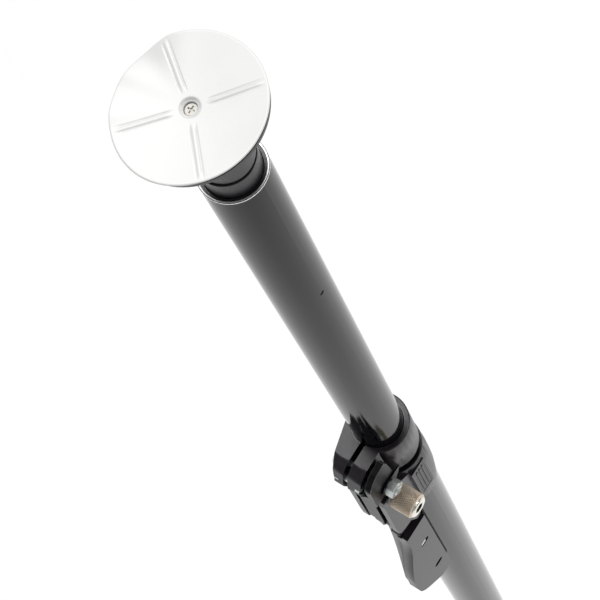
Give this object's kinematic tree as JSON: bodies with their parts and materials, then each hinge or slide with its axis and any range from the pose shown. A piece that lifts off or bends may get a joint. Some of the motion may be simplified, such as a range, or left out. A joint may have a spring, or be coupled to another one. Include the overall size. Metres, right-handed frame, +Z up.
{
  "type": "tension pole",
  "caption": "Telescopic floor-to-ceiling tension pole with a cast lever lock, a sprung leaning top foot and round rubber pads.",
  "frame": {"origin": "centre of the base pad's underside", "axes": "+Z up the pole, -Y towards the lever, +X towards the adjuster barrel"},
  "size_m": [0.0822, 0.0965, 1.927],
  "materials": {
    "black_anodised": "gloss",
    "grey_cast_paint": "satin",
    "olive_cast_paint": "satin",
    "black_cast_paint": "satin",
    "badge_plastic": "matte",
    "black_nylon": "matte",
    "zinc_steel": "satin",
    "spring_steel": "satin",
    "knurled_nickel": "satin",
    "bright_nickel": "gloss",
    "white_nylon": "satin",
    "white_rubber": "matte"
  },
  "bodies": {
    "outer_assembly": {"outer_tube": "black_anodised", "guide_bush": "black_nylon", "lower_housing": "grey_cast_paint", "badge_plates": "badge_plastic", "lever_pivot_pins": "zinc_steel", "lever_pivot_washers": "zinc_steel", "pinch_bolt": "zinc_steel", "pinch_washer": "zinc_steel", "base_hub": "black_nylon", "base_rivets": "zinc_steel", "base_backing_disc": "black_nylon", "base_pad": "white_rubber", "base_pad_screw": "zinc_steel"},
    "upper_collar": {"upper_collar": "grey_cast_paint", "collar_liner": "black_nylon", "clamp_bolts": "zinc_steel", "clamp_nuts": "zinc_steel", "link_pivot_bolt": "zinc_steel", "link_pivot_nut": "zinc_steel", "link_tab_washer": "black_cast_paint", "link_spacer": "black_nylon"},
    "link": {"link_fork": "black_cast_paint"},
    "lever": {"lever_core": "olive_cast_paint", "lever_cover": "grey_cast_paint", "lever_cover_screws": "zinc_steel", "crank_pin": "zinc_steel", "catch_pivot_pin": "zinc_steel", "catch_spring": "spring_steel"},
    "catch": {"safety_catch": "black_nylon", "catch_bar": "zinc_steel"},
    "adjuster": {"knurled_barrel": "knurled_nickel", "barrel_socket_insert": "bright_nickel"},
    "inner_tube": {"inner_tube": "black_anodised", "inner_guide_sleeve": "black_nylon", "mouth_bush": "black_nylon", "spring_seat": "black_nylon", "spring_seat_pin": "zinc_steel", "plunger_spring": "spring_steel"},
    "plunger": {"plunger_stem": "black_nylon"},
    "top_foot": {"top_foot_hub": "black_nylon", "top_backing_disc": "black_nylon", "top_pad": "white_rubber", "top_pad_screw": "white_nylon"}
  },
  "joints": [
    {"name": "lever_hinge", "type": "hinge", "parent": "outer_assembly", "child": "lever", "pos_m": [0, -0.0375, 1.277], "axis": [-1, 0, 0], "range_deg": [0, 110]},
    {"name": "collar_slide", "type": "slide", "parent": "outer_assembly", "child": "upper_collar", "axis": [0, 0, 1], "range_m": [-0.0056, 0]},
    {"name": "link_swing", "type": "hinge", "parent": "upper_collar", "child": "link", "pos_m": [0, -0.03, 1.377], "axis": [1, 0, 0], "range_deg": [0, 2.3]},
    {"name": "inner_slide", "type": "slide", "parent": "upper_collar", "child": "inner_tube", "axis": [0, 0, 1], "range_m": [-0.415, 0.775]},
    {"name": "plunger_slide", "type": "slide", "parent": "inner_tube", "child": "plunger", "axis": [0, 0, 1], "range_m": [-0.025, 0], "stiffness_N_per_m": 5000, "springref_m": 0.01, "deforming": ["plunger_spring"]},
    {"name": "foot_lean", "type": "hinge", "parent": "plunger", "child": "top_foot", "pos_m": [0, 0, 1.872], "axis": [1, 0, 0], "range_deg": [-7.8, 0.2]},
    {"name": "adjuster_turn", "type": "hinge", "parent": "outer_assembly", "child": "adjuster", "pos_m": [0, -0.0295, 1.352], "axis": [1, 0, 0], "continuous": true},
    {"name": "catch_rock", "type": "hinge", "parent": "lever", "child": "catch", "pos_m": [0, -0.029, 1.222], "axis": [1, 0, 0], "range_deg": [0, 4.3], "stiffness_Nm_per_rad": 0.3, "springref_deg": -5.73}
  ],
  "couplings": [
    {"joint": "collar_slide", "follows": "lever_hinge", "m_per_rad": -0.0028},
    {"joint": "link_swing", "follows": "lever_hinge", "ratio": 0.0204}
  ]
}
